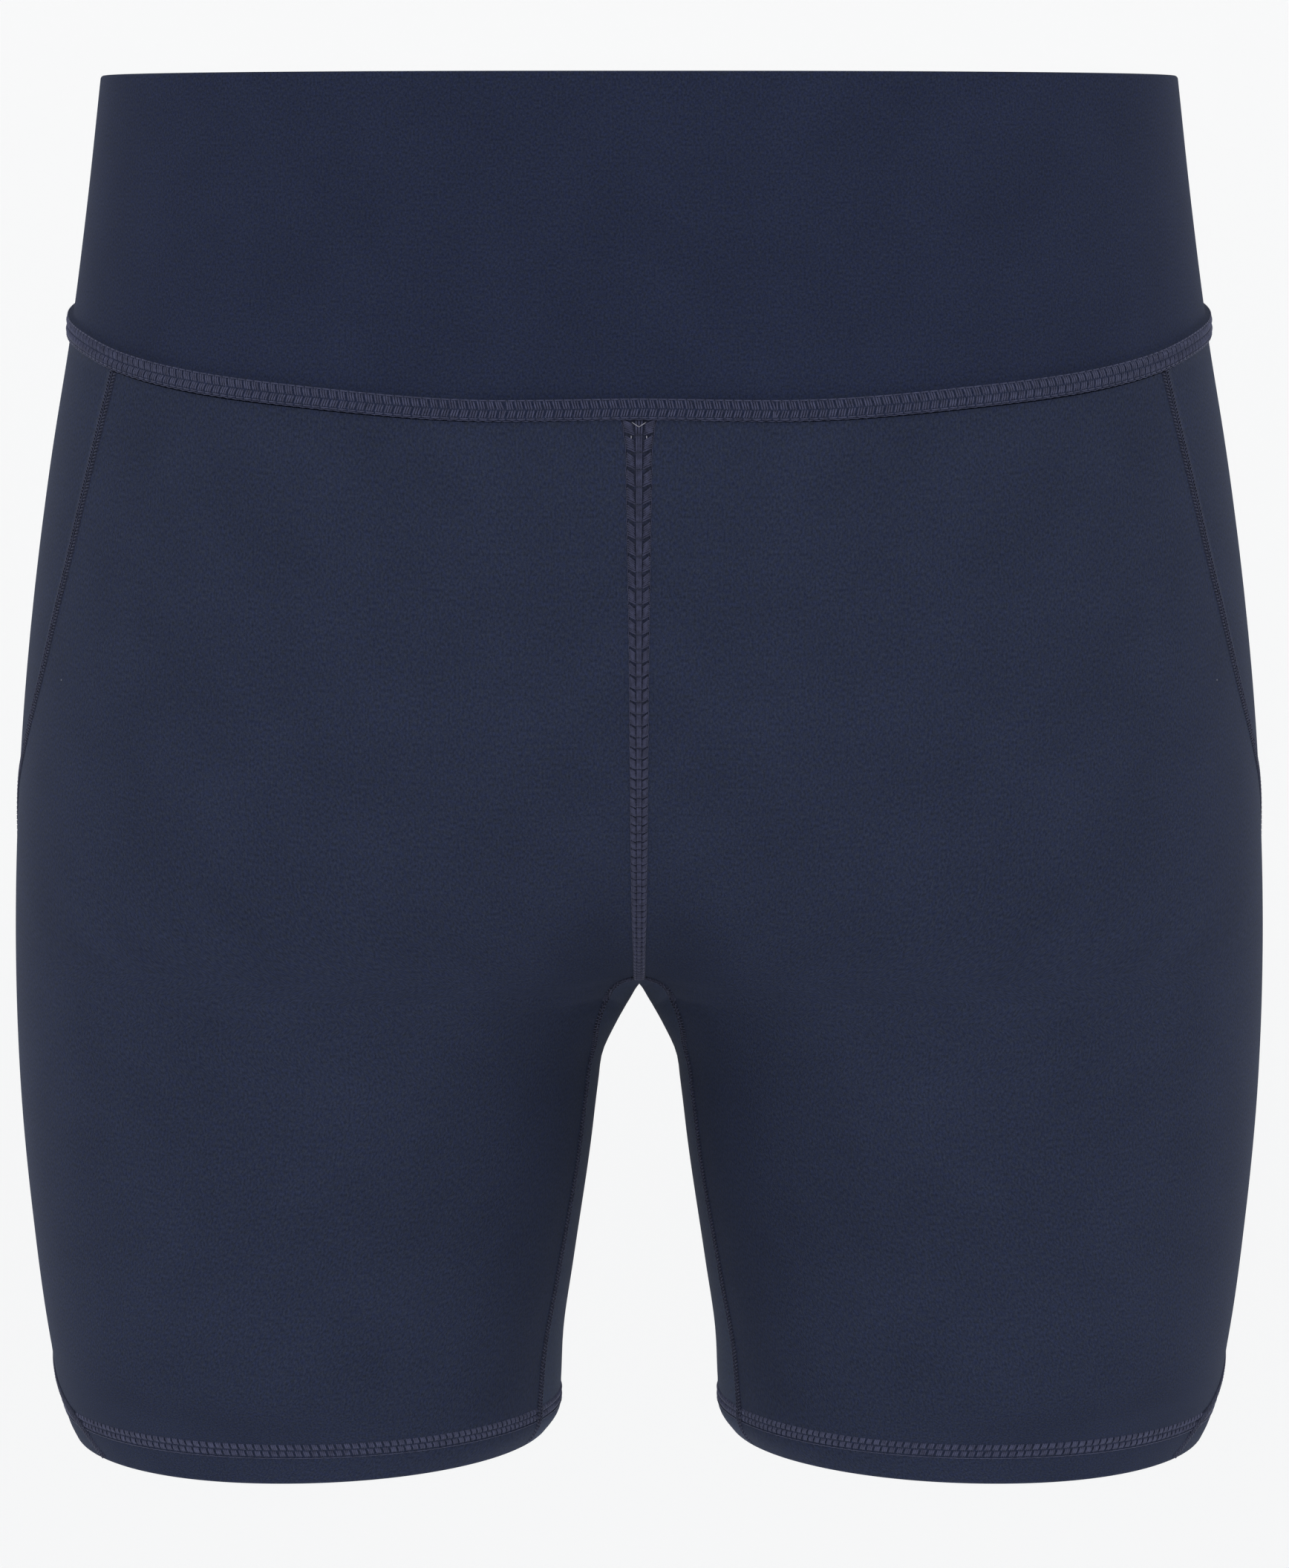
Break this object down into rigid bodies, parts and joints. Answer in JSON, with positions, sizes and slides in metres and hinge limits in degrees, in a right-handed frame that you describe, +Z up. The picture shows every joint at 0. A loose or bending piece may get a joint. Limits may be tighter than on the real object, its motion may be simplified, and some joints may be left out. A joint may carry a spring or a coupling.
{
  "type": "cycling shorts",
  "caption": "High-waisted, close-fitting cycling shorts with a wide waistband, side panels and an inner-leg gusset, hollow and filled out as if worn.",
  "frame": {"origin": "middle of the waist opening, at the level of its top edge", "axes": "+Z up out of the waist, -Y towards the front of the wearer, +X towards the side that is on the right in a front view"},
  "size_m": [0.3956, 0.2546, 0.4306],
  "materials": {
    "waistband_knit": "matt fine knit, navy",
    "panel_knit": "matt fine knit, navy",
    "gusset_knit": "matt fine knit, navy"
  },
  "bodies": {
    "root": {"waistband": "waistband_knit", "front_right": "panel_knit", "front_left": "panel_knit", "side_right": "panel_knit", "side_left": "panel_knit", "back_right": "panel_knit", "back_left": "panel_knit", "gusset": "gusset_knit"}
  },
  "joints": []
}
